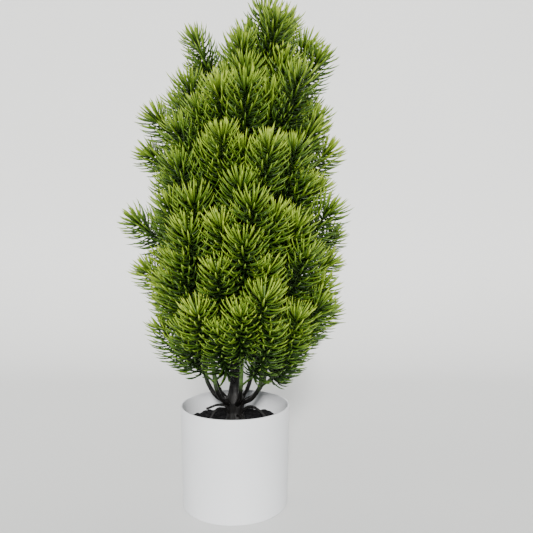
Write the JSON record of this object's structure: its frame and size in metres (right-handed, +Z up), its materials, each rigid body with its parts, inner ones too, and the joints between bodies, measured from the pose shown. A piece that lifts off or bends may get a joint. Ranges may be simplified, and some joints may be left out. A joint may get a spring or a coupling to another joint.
{
  "type": "artificial tabletop tree",
  "caption": "Artificial tabletop conifer: needle sprigs on bendable side stems round a trunk with aerial roots, set in a plain round white pot.",
  "frame": {"origin": "centre of the pot's flat base, on the surface that it stands on", "axes": "+Z up along the trunk, -Y towards the front"},
  "size_m": [0.2138, 0.2038, 0.5],
  "materials": {
    "pot": "satin white moulded plastic",
    "soil": "clumpy black moulding, satin",
    "bark": "near-black bark grain",
    "stem": "semi-gloss, black at the foot and green above",
    "foliage": "soft needles, dark green at the root and yellow-green at the tip",
    "wire": "plain",
    "cement": "rough",
    "foam": "rigid foam"
  },
  "bodies": {
    "base": {"aerial_root_front": "bark", "aerial_root_left": "bark", "aerial_root_left_arch": "bark", "aerial_root_rear": "bark", "aerial_root_right_arch": "bark", "ballast_plug": "cement", "foam_filler": "foam", "leader": "bark", "pot": "pot", "root_crown": "bark", "soil_disc": "soil", "sprigs_fifth_tier": "foliage", "sprigs_first_tier": "foliage", "sprigs_fourth_tier": "foliage", "sprigs_front": "foliage", "sprigs_leader": "foliage", "sprigs_second_tier": "foliage", "sprigs_sixth_tier": "foliage", "sprigs_third_tier": "foliage", "trunk": "bark", "trunk_wire": "wire"},
    "arm_right": {"stem_right": "stem", "wire_right": "wire", "sprigs_right": "foliage"},
    "arm_right_rear": {"stem_right_rear": "stem", "wire_right_rear": "wire", "sprigs_right_rear": "foliage"},
    "arm_rear": {"stem_rear": "stem", "wire_rear": "wire", "sprigs_rear": "foliage"},
    "arm_left_rear": {"stem_left_rear": "stem", "wire_left_rear": "wire", "sprigs_left_rear": "foliage"},
    "arm_left": {"stem_left": "stem", "wire_left": "wire", "sprigs_left": "foliage"},
    "arm_front_left": {"stem_front_left": "stem", "wire_front_left": "wire", "sprigs_front_left": "foliage"},
    "arm_front_right": {"stem_front_right": "stem", "wire_front_right": "wire", "sprigs_front_right": "foliage"},
    "arm_right_front": {"stem_right_front": "stem", "wire_right_front": "wire", "sprigs_right_front": "foliage"}
  },
  "joints": [
    {"name": "bend_right", "type": "hinge", "parent": "base", "child": "arm_right", "pos_m": [0.00936, 0.00165, 0.102], "axis": [-0.1736, 0.9848, 0], "range_deg": [0, 18]},
    {"name": "bend_right_rear", "type": "hinge", "parent": "base", "child": "arm_right_rear", "pos_m": [0.00545, 0.00778, 0.102], "axis": [-0.8192, 0.5736, 0], "range_deg": [0, 18]},
    {"name": "bend_rear", "type": "hinge", "parent": "base", "child": "arm_rear", "pos_m": [-0.00165, 0.00936, 0.102], "axis": [-0.9848, -0.1736, 0], "range_deg": [0, 18]},
    {"name": "bend_left_rear", "type": "hinge", "parent": "base", "child": "arm_left_rear", "pos_m": [-0.00778, 0.00545, 0.102], "axis": [-0.5736, -0.8192, 0], "range_deg": [0, 18]},
    {"name": "bend_left", "type": "hinge", "parent": "base", "child": "arm_left", "pos_m": [-0.00946, -0.00083, 0.102], "axis": [0.0872, -0.9962, 0], "range_deg": [0, 18]},
    {"name": "bend_front_left", "type": "hinge", "parent": "base", "child": "arm_front_left", "pos_m": [-0.00611, -0.00728, 0.102], "axis": [0.766, -0.6428, 0], "range_deg": [0, 18]},
    {"name": "bend_front_right", "type": "hinge", "parent": "base", "child": "arm_front_right", "pos_m": [0.00246, -0.00918, 0.102], "axis": [0.9659, 0.2588, 0], "range_deg": [0, 18]},
    {"name": "bend_right_front", "type": "hinge", "parent": "base", "child": "arm_right_front", "pos_m": [0.00806, -0.00503, 0.102], "axis": [0.5299, 0.848, 0], "range_deg": [0, 18]}
  ]
}
